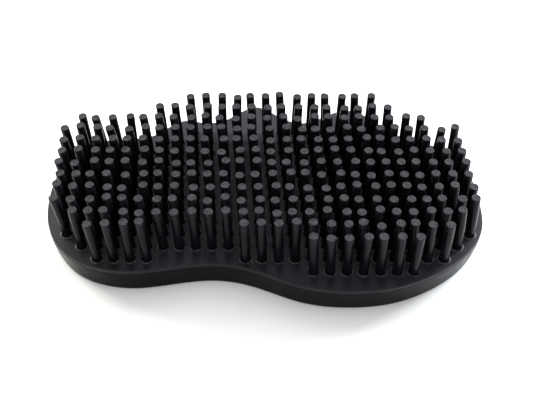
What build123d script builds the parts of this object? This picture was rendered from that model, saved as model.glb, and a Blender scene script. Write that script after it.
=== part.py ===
"""Rubber curry brush: a palm-sized rubber block with a field of flexible round pins.

All sizes are in millimetres.  The brush lies on its hand side with the pins up: X runs along
its length, Y from its front edge to the finger rests at its back, Z up.  The origin is the
middle of the underside.
"""
import os

from build123d import *

# ---- driving dimensions -------------------------------------------------------------------
PITCH = 5.0  # pin to pin, along a row and from row to row
COLUMN_SLANT = -0.35  # sideways step of a column from one row to the next
GRID_X = 2.8  # X of column 0 in row 2
GRID_Y = -13.35  # Y of row 0
FRONT_CLOSING = 0.25  # the rows in front of row -1 stand this much closer each

BODY_HEIGHT = 8.7  # underside to shoulder
PLATE_HEIGHT = 1.6  # the pin plate above the shoulder
SHOULDER = 0.05  # ledge of the body round the pin plate
WALL_TAPER = 0.9  # how far the wall draws in from shoulder to underside
EDGE_ROUND = 0.5  # rounded lower edge of the body
PLATE_ROUND = 0.2  # rounded top edge of the pin plate

PIN_HEIGHT = 17.0  # plate top to pin tip
PIN_ROOT_RADIUS = 1.45
PIN_TIP_RADIUS = 1.37
TIP_ROUND = 0.1

COLLAR_HEIGHT = 0.15
COLLAR_FOOT_RADIUS = 2.15
COLLAR_TOP_RADIUS = 1.78
SOCKET_RADIUS = 1.7
SOCKET_DEPTH = 1.42  # below the plate top

PALM_BORDER = 9.0  # flat border left round the palm recess
PALM_DEPTH = 0.6

RIB_COUNT = 3
RIB_HEIGHT = 0.8
RIB_SPACING = 2.0
RIB_PROUD = 0.28  # at the very ends of the brush
RIB_TUCK = 0.5  # depth below the wall at front and back, so that the ribs fade out

# Outline of the shoulder, anticlockwise.  Each list runs on from the one before.
FRONT_EDGE = [
    (-60.5, -25.9), (-51.5, -31.0), (-39.8, -32.7), (-27.5, -31.0), (-13.5, -29.8),
    (-2.0, -32.5), (11.2, -37.8), (26.5, -39.8), (41.0, -37.9), (53.7, -32.1), (62.6, -25.1),
]
RIGHT_END = [(68.2, -16.5), (69.4, -6.0), (68.0, 7.5), (62.8, 17.2)]
FINGER_RESTS = [
    (53.0, 22.4), (43.8, 27.2), (37.2, 34.0), (29.6, 38.1), (21.0, 34.8), (13.0, 31.6),
    (5.0, 35.0), (-3.2, 39.8), (-12.0, 34.2), (-20.4, 31.6), (-28.0, 32.7), (-37.6, 25.7),
    (-48.8, 23.3),
]
LEFT_END = [(-60.6, 20.4), (-67.5, 10.5), (-69.4, -3.0), (-67.3, -16.0)]
HALF_LENGTH = 69.4
HALF_WIDTH = 39.8

# Pins of each row, front to back: runs of columns, first and last.
PIN_RUNS = [
    [(2, 8)],
    [(-11, -8), (-2, 10)],
    [(-12, 11)],
    [(-13, 12)],
    [(-13, 12)],
    [(-13, 12)],
    [(-13, 12)],
    [(-13, 12)],
    [(-13, 12)],
    [(-13, 12)],
    [(-12, 10)],
    [(-7, 8)],
    [(-5, 7)],
]
FIRST_ROW = -4
STRAIGHT_ROW = 2  # the row in which GRID_X is measured

PLATE_TOP = BODY_HEIGHT + PLATE_HEIGHT
PIVOT_Z = PLATE_TOP + COLLAR_HEIGHT  # the pins flex about the top of their collars


def outline(inset, side_inset=None):
    """Draw the closed outline, drawn in by the insets at its ends and at its front and back."""
    x_scale = 1 - inset / HALF_LENGTH
    y_scale = 1 - (inset if side_inset is None else side_inset) / HALF_WIDTH
    points = FRONT_EDGE + RIGHT_END + FINGER_RESTS + LEFT_END
    Spline(*[(x * x_scale, y * y_scale) for x, y in points], periodic=True)


def row_points(row):
    """Return the plan positions of the pins in one row."""
    index = FIRST_ROW + row
    shift = GRID_X + COLUMN_SLANT * (index - STRAIGHT_ROW)
    y = GRID_Y + PITCH * index + FRONT_CLOSING * max(0, -1 - index)
    columns = [c for first, last in PIN_RUNS[row] for c in range(first, last + 1)]
    return [(shift + PITCH * column, y) for column in columns]


def wall_inset(height):
    """Return how far the tapered wall stands in at a height."""
    return WALL_TAPER * (1 - height / BODY_HEIGHT)


os.makedirs("parts", exist_ok=True)

# ---- hand body ----------------------------------------------------------------------------
# The tapered block that the palm and fingers hold, with grip ribs round both ends.
with BuildPart() as rib_bands:
    for number in range(RIB_COUNT):
        middle = BODY_HEIGHT / 2 + RIB_SPACING * (number - (RIB_COUNT - 1) / 2)
        with BuildSketch(Plane.XY.offset(middle - RIB_HEIGHT / 2)):
            with BuildLine():
                outline(wall_inset(middle) - RIB_PROUD, wall_inset(middle) + RIB_TUCK)
            make_face()
        extrude(amount=RIB_HEIGHT)

with BuildPart() as hand_body:
    for height, inset in (
        (0.0, WALL_TAPER + EDGE_ROUND),
        (EDGE_ROUND, wall_inset(EDGE_ROUND)),
        (BODY_HEIGHT, 0.0),
    ):
        with BuildSketch(Plane.XY.offset(height)):
            with BuildLine():
                outline(inset)
            make_face()
    loft(ruled=True)
    with BuildSketch(Plane.XY) as palm:
        with BuildLine():
            outline(PALM_BORDER)
        make_face()
    extrude(amount=PALM_DEPTH, mode=Mode.SUBTRACT)
    add(rib_bands.part)
hand_body.part.label = "hand_body"
export_step(hand_body.part, "parts/hand_body.step")

# ---- pin plate ----------------------------------------------------------------------------
# The plate on the body, with a raised collar and a socket for the root of every pin.
all_points = [point for row in range(len(PIN_RUNS)) for point in row_points(row)]
with BuildPart() as pin_plate:
    with BuildSketch(Plane.XY.offset(BODY_HEIGHT)):
        with BuildLine():
            outline(SHOULDER)
        make_face()
    extrude(amount=PLATE_HEIGHT)
    fillet(pin_plate.edges().group_by(Axis.Z)[-1], PLATE_ROUND)
    with Locations(*[(x, y, PLATE_TOP) for x, y in all_points]):
        Cone(
            COLLAR_FOOT_RADIUS,
            COLLAR_TOP_RADIUS,
            COLLAR_HEIGHT,
            align=(Align.CENTER, Align.CENTER, Align.MIN),
        )
    with BuildSketch(Plane.XY.offset(PIVOT_Z)):
        with Locations(*all_points):
            Circle(SOCKET_RADIUS)
    extrude(amount=-(COLLAR_HEIGHT + SOCKET_DEPTH), mode=Mode.SUBTRACT)
pin_plate.part.label = "pin_plate"
export_step(pin_plate.part, "parts/pin_plate.step")

# ---- pins ---------------------------------------------------------------------------------
# One pin, with its rounded root centred on the origin, then every row of them.
pin_length = PLATE_TOP + PIN_HEIGHT - PIVOT_Z
with BuildPart() as pin:
    with BuildSketch(Plane.XZ):
        with BuildLine():
            RadiusArc((0, -PIN_ROOT_RADIUS), (PIN_ROOT_RADIUS, 0), -PIN_ROOT_RADIUS)
            Line((PIN_ROOT_RADIUS, 0), (PIN_TIP_RADIUS, pin_length - TIP_ROUND))
            RadiusArc(
                (PIN_TIP_RADIUS, pin_length - TIP_ROUND),
                (PIN_TIP_RADIUS - TIP_ROUND, pin_length),
                -TIP_ROUND,
            )
            Line((PIN_TIP_RADIUS - TIP_ROUND, pin_length), (0, pin_length))
            Line((0, pin_length), (0, -PIN_ROOT_RADIUS))
        make_face()
    revolve(axis=Axis.Z)

for row in range(len(PIN_RUNS)):
    name = f"pin_row_{row + 1:02d}"
    with BuildPart() as pin_row:
        with Locations(*[(x, y, PIVOT_Z) for x, y in row_points(row)]):
            add(pin.part)
    pin_row.part.label = name
    export_step(pin_row.part, f"parts/{name}.step")
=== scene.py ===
"""Rubber curry brush: moulded black rubber block, pin plate and a field of flexible pins.

The block and the plate are the CAD's own and get their rubber here.  Each row of straight CAD pins
gives way to a row of moulded ones, which lean, bow and end in uneven tips.  Lengths are in metres
unless a comment says millimetres.
"""
import math
import random

import bpy
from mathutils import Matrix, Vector


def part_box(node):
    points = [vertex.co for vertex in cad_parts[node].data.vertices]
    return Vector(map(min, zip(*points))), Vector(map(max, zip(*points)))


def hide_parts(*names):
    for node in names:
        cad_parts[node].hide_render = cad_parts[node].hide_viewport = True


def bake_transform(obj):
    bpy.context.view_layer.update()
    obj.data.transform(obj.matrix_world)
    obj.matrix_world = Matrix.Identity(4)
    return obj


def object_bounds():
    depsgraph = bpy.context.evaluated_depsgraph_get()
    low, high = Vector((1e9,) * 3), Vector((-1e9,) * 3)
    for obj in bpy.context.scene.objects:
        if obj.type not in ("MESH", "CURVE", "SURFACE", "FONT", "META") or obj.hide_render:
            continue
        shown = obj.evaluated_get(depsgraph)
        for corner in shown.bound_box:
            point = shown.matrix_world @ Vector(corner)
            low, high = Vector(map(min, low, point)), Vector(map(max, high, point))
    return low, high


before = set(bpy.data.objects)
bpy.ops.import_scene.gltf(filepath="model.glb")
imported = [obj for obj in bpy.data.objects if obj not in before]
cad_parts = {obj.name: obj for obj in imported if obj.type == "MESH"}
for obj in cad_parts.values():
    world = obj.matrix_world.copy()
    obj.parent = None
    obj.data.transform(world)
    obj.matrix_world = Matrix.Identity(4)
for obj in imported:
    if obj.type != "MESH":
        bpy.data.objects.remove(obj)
cad_low, cad_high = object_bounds()

MM = 0.001
random.seed(11)

# ---- the pins, as the CAD rows place them ---------------------------------------------------
PITCH = 5.0 * MM
MISSING = {"pin_row_02": range(4, 9)}  # steps along the row that the waist leaves without pins
PIN_SIDES = 20
TIP_SHRINK = 0.12 * MM  # room under the CAD's highest point for uneven tips
TIP_FACE = 0.40 * MM  # faces wholly within this of the CAD's highest point are tip face

# How one pin differs from the next.
SHORTFALL = 0.12 * MM  # what a pin is short of the full length by, at most
SWELL = (0.985, 1.01)  # thickness of the shaft and tip
TILT = 0.02  # slope of the tip, at most
LEAN_X, LEAN_Y = 0.36 * MM, 0.42 * MM  # spread of the tips from moulding and handling
LEAN_LIMIT = 2  # how many spreads a tip strays by, at most

# How the pins lean together, measured at their tips.
SIDE_LEAN = -0.2 * MM  # every pin leans a little along the brush
END_LEAN_X, END_LEAN_Y = -0.8 * MM, 0.4 * MM  # what the pins lean by at both ends
END_LEAN_POWER = 3  # how late that sets in on the way to an end
BACK_LEAN = 0.5 * MM  # what the pins lean backwards by at the back edge
LEAN_CURVE = 1.5  # how late a pin's lean sets in on the way up to its tip

# Half profile of a pin, in millimetres: radius and height above the collar.  The foot starts
# down in the collar's socket and leaves a narrow dark gap round itself.
FOOT = [(1.15, -1.15), (1.54, -0.95), (1.57, -0.40), (1.55, 0.05), (1.515, 0.35), (1.485, 0.85)]
SHAFT = [(1.455, 1.6), (1.445, 3.2), (1.43, 5.5), (1.41, 8.5), (1.39, 11.5), (1.375, 14.0)]
SHAFT_START, TIP_START = len(FOOT), len(FOOT) + len(SHAFT)

# Half profile of its tip, in millimetres: radius and depth below the full length of the pin.
TIP = [(1.37, 0.30), (1.365, 0.10), (1.34, 0.03), (1.27, 0.0), (1.05, 0.005)]
DISH_RADIUS, DISH_DEPTH = 0.5, (0.02, 0.12)  # the hollow in the middle of a tip

# Scraps of moulding flash on the tips, in millimetres.
NIB_SHARE = 0.10  # of the pins
NIB_REACH = (0.7, 1.15)  # from the middle of the tip to the middle of the scrap
NIB = [(0.34, -0.25), (0.52, -0.02), (0.44, 0.04)]  # radius and height above the tip
NIB_SIDES = 7

collar_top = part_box("pin_plate")[1][2]
row_names = sorted(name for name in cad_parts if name.startswith("pin_row_"))


def circle(radius, sides):
    """Return the points of a circle round the origin."""
    turns = [2 * math.pi * step / sides for step in range(sides)]
    return [(radius * math.cos(turn), radius * math.sin(turn)) for turn in turns]


def skin(faces, first, rings, sides):
    """Add the faces of a lathe form: its wall from ring to ring, then a cap at each end."""
    for ring in range(rings - 1):
        below, above = first + ring * sides, first + (ring + 1) * sides
        for step in range(sides):
            after = (step + 1) % sides
            faces.append((below + step, below + after, above + after, above + step))
    last = first + (rings - 1) * sides
    faces.append(tuple(range(last, last + sides)))
    faces.append(tuple(range(first + sides - 1, first - 1, -1)))


def stray(spread):
    """Return a random distance to either side, mostly within the spread."""
    return max(-LEAN_LIMIT, min(LEAN_LIMIT, random.gauss(0, 1))) * spread


def pin_profile(length):
    """Return (radius, height) of every ring, in metres, foot to tip."""
    rings = [(radius * MM, height * MM) for radius, height in FOOT + SHAFT]
    rings += [(radius * MM, length - depth * MM) for radius, depth in TIP]
    rings.append((DISH_RADIUS * MM, length - random.uniform(*DISH_DEPTH) * MM))
    return rings


def add_pin(vertices, faces, x, y, length, lean):
    """Add one pin, a lathe form that leans and bows a little, to the row's mesh."""
    first = len(vertices)
    lean_x = lean[0] + stray(LEAN_X)
    lean_y = lean[1] + stray(LEAN_Y)
    swell = random.uniform(*SWELL)
    tilt = random.uniform(-TILT, TILT), random.uniform(-TILT, TILT)
    rings = pin_profile(length - random.uniform(0, SHORTFALL))
    for number, (radius, height) in enumerate(rings):
        share = max(0.0, height / length) ** LEAN_CURVE
        scale = swell if number >= SHAFT_START else 1.0
        for px, py in circle(radius * scale, PIN_SIDES):
            dip = abs(px * tilt[0] + py * tilt[1]) if number >= TIP_START else 0.0
            vertices.append((
                x + px + lean_x * share,
                y + py + lean_y * share,
                collar_top + height - dip,
            ))
    skin(faces, first, len(rings), PIN_SIDES)
    if random.random() < NIB_SHARE:
        rim_height = rings[-2][1]
        add_nib(vertices, faces, x + lean_x, y + lean_y, collar_top + rim_height)


def add_nib(vertices, faces, x, y, z):
    """Add a scrap of moulding flash: a low stub that juts a little past the rim of the tip."""
    first = len(vertices)
    angle = random.uniform(0, 2 * math.pi)
    reach = random.uniform(*NIB_REACH) * MM
    x, y = x + reach * math.cos(angle), y + reach * math.sin(angle)
    for radius, height in NIB:
        for px, py in circle(radius * MM, NIB_SIDES):
            vertices.append((x + px, y + py, z + height * MM))
    skin(faces, first, len(NIB), NIB_SIDES)


def mean_lean(x, y):
    """Return what the tips lean by along and across the brush at a place on the plate."""
    end = abs(x / cad_high.x) ** END_LEAN_POWER
    back = max(0.0, y / cad_high.y)
    return SIDE_LEAN + END_LEAN_X * end, BACK_LEAN * back + END_LEAN_Y * end


def build_row(name, materials):
    """Build the pins of one CAD row as one mesh.

    The materials are that of the pins and that of their tips.
    """
    low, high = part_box(name)
    y = (low[1] + high[1]) / 2
    radius = (high[1] - low[1]) / 2
    length = high[2] - TIP_SHRINK - collar_top
    last_step = round((high[0] - low[0] - 2 * radius) / PITCH)
    vertices, faces = [], []
    for step in range(last_step + 1):
        if step not in MISSING.get(name, ()):
            x = low[0] + radius + step * PITCH
            add_pin(vertices, faces, x, y, length, mean_lean(x, y))
    mesh = bpy.data.meshes.new(name + "_soft")
    mesh.from_pydata(vertices, [], faces)
    mesh.update()
    for material in materials:
        mesh.materials.append(material)
    mesh.polygons.foreach_set("use_smooth", [True] * len(mesh.polygons))
    tip_start = high[2] - TIP_FACE
    lowest = [min(mesh.vertices[v].co.z for v in face.vertices) for face in mesh.polygons]
    mesh.polygons.foreach_set("material_index", [int(z > tip_start) for z in lowest])
    row = bpy.data.objects.new(name + "_soft", mesh)
    bpy.context.collection.objects.link(row)
    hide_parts(name)
    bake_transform(row)


# ---- materials --------------------------------------------------------------------------------
SHEEN_TINT = (0.93, 0.90, 1.0, 1)  # new black rubber shines a little blue
RIPPLE_SCALE, RIPPLE_DEPTH = 130, 0.12 * MM  # the slow unevenness of a moulded face
GRAIN_SCALE = 2600  # of the fine mould grain
BLOOM_SCALE, PATCH_SCALE = 55, 420  # of the unevenness in colour and in gloss
SPECKLE_SCALE = 700  # of the flecks that handling greys, and of the flecked painted highlight on the plate's collars
TIP_BLOOM_SCALE, TIP_PATCH_SCALE = 1300, 1500
WALL_SCUFF = 1.6 * MM  # how far up the wall the grey of its lower edge reaches
COLLAR_HEIGHT = 0.15 * MM  # of the raised rings round the pins, as in the CAD, which are painted lighter towards their tops as a highlight
PIN_SCUFF = 6.0 * MM  # how far down the pins the grey of their tips reaches
PAPER_SCALE = 9


class Nodes:
    """Short calls for building one material's node tree."""

    def __init__(self, name):
        self.material = bpy.data.materials.new(name)
        self.material.use_nodes = True
        self.tree = self.material.node_tree
        self.shader = self.tree.nodes["Principled BSDF"]
        self.place = self.add("ShaderNodeTexCoord").outputs["Object"]

    def add(self, kind, **values):
        node = self.tree.nodes.new(kind)
        for key, value in values.items():
            setattr(node, key, value)
        return node

    def link(self, output, target):
        self.tree.links.new(output, target)

    def noise(self, scale, detail=4.0, rough=0.5):
        node = self.add("ShaderNodeTexNoise")
        node.inputs["Scale"].default_value = scale
        node.inputs["Detail"].default_value = detail
        node.inputs["Roughness"].default_value = rough
        self.link(self.place, node.inputs["Vector"])
        return node.outputs["Fac"]

    def ramp(self, fac, stops):
        """Colour a value by two stops of (position, colour)."""
        node = self.add("ShaderNodeValToRGB")
        for element, (position, colour) in zip(node.color_ramp.elements, stops):
            element.position = position
            element.color = (*colour, 1)
        self.link(fac, node.inputs["Fac"])
        return node.outputs["Color"]

    def to_range(self, fac, low, high, from_low=0.3, from_high=0.7):
        node = self.add("ShaderNodeMapRange")
        node.inputs["From Min"].default_value = from_low
        node.inputs["From Max"].default_value = from_high
        node.inputs["To Min"].default_value = low
        node.inputs["To Max"].default_value = high
        self.link(fac, node.inputs["Value"])
        return node.outputs["Result"]

    def height(self):
        split = self.add("ShaderNodeSeparateXYZ")
        self.link(self.place, split.inputs["Vector"])
        return split.outputs["Z"]

    def times(self, first, second):
        node = self.add("ShaderNodeMath", operation="MULTIPLY", use_clamp=True)
        self.link(first, node.inputs[0])
        self.link(second, node.inputs[1])
        return node.outputs["Value"]

    def mix(self, share, colour, other):
        node = self.add("ShaderNodeMixRGB")
        self.link(share, node.inputs["Fac"])
        self.link(colour, node.inputs["Color1"])
        node.inputs["Color2"].default_value = (*other, 1)
        return node.outputs["Color"]

    def bump(self, height, distance, before=None):
        node = self.add("ShaderNodeBump")
        node.inputs["Distance"].default_value = distance
        node.inputs["Strength"].default_value = 1.0
        self.link(height, node.inputs["Height"])
        if before is not None:
            self.link(before, node.inputs["Normal"])
        return node.outputs["Normal"]


def rubber(name, dark, light, roughness, specular, grain, wear_and_highlight=None,
           bloom_scale=BLOOM_SCALE, patch_scale=PATCH_SCALE):
    """Moulded black rubber: uneven bloom in the colour, fine mould grain, broad ripple.

    roughness is that of the glossiest and the dullest patches, and grain the depth of the mould
    grain.  The (colour, start, end) argument mixes a lighter colour in flecks, more of it from the
    height start to the height end: grey from handling on the body and the pins, and a painted
    highlight on the raised collars round the pins of the plate.
    """
    nodes = Nodes(name)
    colour = nodes.ramp(nodes.noise(bloom_scale, 5.0, 0.62), [(0.32, dark), (0.72, light)])
    # Flecks of a lighter colour by height: wear on the body and the pins, painted highlight on the
    # plate's collars.
    if wear_and_highlight is not None:
        wear_and_highlight_colour, start, end = wear_and_highlight
        speckle = nodes.to_range(nodes.noise(SPECKLE_SCALE, 4.0, 0.7), 0.0, 1.0, 0.42, 0.62)
        share = nodes.times(nodes.to_range(nodes.height(), 0.0, 1.0, start, end), speckle)
        colour = nodes.mix(share, colour, wear_and_highlight_colour)
    gloss = nodes.to_range(nodes.noise(patch_scale, 3.0, 0.6), *roughness)
    ripple = nodes.bump(nodes.noise(RIPPLE_SCALE, 2.0), RIPPLE_DEPTH)
    surface = nodes.bump(nodes.noise(GRAIN_SCALE, 3.0, 0.7), grain, before=ripple)
    nodes.link(colour, nodes.shader.inputs["Base Color"])
    nodes.link(gloss, nodes.shader.inputs["Roughness"])
    nodes.link(surface, nodes.shader.inputs["Normal"])
    nodes.shader.inputs["Specular IOR Level"].default_value = specular
    nodes.shader.inputs["Specular Tint"].default_value = SHEEN_TINT
    return nodes.material


def floor_material():
    """Pale studio paper with the faintest mottling."""
    nodes = Nodes("studio_paper")
    shades = [(0.3, (0.86, 0.86, 0.86)), (0.7, (0.89, 0.89, 0.89))]
    nodes.link(nodes.ramp(nodes.noise(PAPER_SCALE), shades), nodes.shader.inputs["Base Color"])
    nodes.shader.inputs["Roughness"].default_value = 0.9
    nodes.shader.inputs["Specular IOR Level"].default_value = 0.1
    return nodes.material


body_rubber = rubber(
    "body_rubber", dark=(0.0022, 0.0021, 0.0028), light=(0.0054, 0.0052, 0.0066),
    roughness=(0.16, 0.26), specular=0.04, grain=0.03 * MM,
    wear_and_highlight=((0.015, 0.015, 0.015), WALL_SCUFF, 0.0),
)
plate_rubber = rubber(
    "plate_rubber", dark=(0.0040, 0.0039, 0.0052), light=(0.0082, 0.0080, 0.0106),
    roughness=(0.40, 0.54), specular=0.20, grain=0.03 * MM,
    # Painted highlight: the collars round the pins lighter towards their tops, in flecks, for the
    # light they catch from above.
    wear_and_highlight=((0.085, 0.083, 0.090), collar_top - COLLAR_HEIGHT, collar_top),
)
pin_rubber = rubber(
    "pin_rubber", dark=(0.0026, 0.0024, 0.0034), light=(0.0056, 0.0053, 0.0074),
    roughness=(0.15, 0.27), specular=0.10, grain=0.02 * MM,
    wear_and_highlight=((0.017, 0.016, 0.019), cad_high.z - PIN_SCUFF, cad_high.z),
)
# Tip faces: mould mottling on a base far lighter than the shafts', partly their real matte cut
# tone and partly a painted highlight for the light the flat tips catch from above.
tip_rubber_painted_sheen = rubber(
    "tip_rubber_painted_sheen", dark=(0.001, 0.001, 0.001), light=(0.043, 0.041, 0.046),
    roughness=(0.34, 0.62), specular=0.12, grain=0.24 * MM,
    bloom_scale=TIP_BLOOM_SCALE, patch_scale=TIP_PATCH_SCALE,
)

for name, material in (("hand_body", body_rubber), ("pin_plate", plate_rubber)):
    for material_slot in bpy.data.objects[name].material_slots:
        material_slot.material = material

for name in row_names:
    build_row(name, (pin_rubber, tip_rubber_painted_sheen))

# ---- floor, light and camera ------------------------------------------------------------------
FLOOR_SIZE = 6
WORLD_LEVEL = 0.42
CAMERA_LENS, CAMERA_SENSOR = 54.3, 36  # millimetres
CAMERA_PLACE = (0.0012, -0.1741, 0.2061)
CAMERA_DOWN, CAMERA_TURN = 49.07, 0.13  # degrees below the horizon, and to the left

bpy.context.scene.view_settings.view_transform = "Standard"
middle = (cad_low + cad_high) / 2

bpy.ops.mesh.primitive_plane_add(size=FLOOR_SIZE, location=(middle.x, middle.y, cad_low.z))
floor = bpy.context.object
floor.name = "floor"
floor.data.materials.append(floor_material())


def area_light(name, place, size, power, colour=(1, 1, 1)):
    """Add a soft box aimed at the middle of the brush, with its power in watts."""
    data = bpy.data.lights.new(name, "AREA")
    data.shape = "RECTANGLE"
    data.size, data.size_y = size
    data.energy = power
    data.color = colour
    light = bpy.data.objects.new(name, data)
    light.location = Vector(place)
    light.rotation_euler = (middle - light.location).to_track_quat("-Z", "Y").to_euler()
    bpy.context.collection.objects.link(light)


area_light("back_top", (0.0, 0.52, 0.62), (0.9, 0.5), 7, (0.96, 0.98, 1.0))
area_light("overhead", (0.0, -0.05, 0.95), (0.8, 0.8), 3.5)
area_light("left_side", (-0.46, 0.30, 0.24), (0.22, 0.2), 4.2, (1.0, 0.99, 0.90))
area_light("right_side", (0.46, 0.30, 0.24), (0.22, 0.2), 6.6, (0.90, 0.96, 1.0))
area_light("front_fill", (0.0, -0.50, 0.55), (0.8, 0.3), 1)

world = bpy.data.worlds.new("studio")
world.use_nodes = True
background = world.node_tree.nodes["Background"]
background.inputs["Color"].default_value = (1, 1, 1, 1)
background.inputs["Strength"].default_value = WORLD_LEVEL
bpy.context.scene.world = world

camera_data = bpy.data.cameras.new("camera")
camera_data.lens = CAMERA_LENS
camera_data.sensor_width = CAMERA_SENSOR
camera_data.clip_start = 0.01
camera = bpy.data.objects.new("camera", camera_data)
camera.location = CAMERA_PLACE
camera.rotation_euler = (math.radians(90 - CAMERA_DOWN), 0, math.radians(CAMERA_TURN))
bpy.context.collection.objects.link(camera)
bpy.context.scene.camera = camera
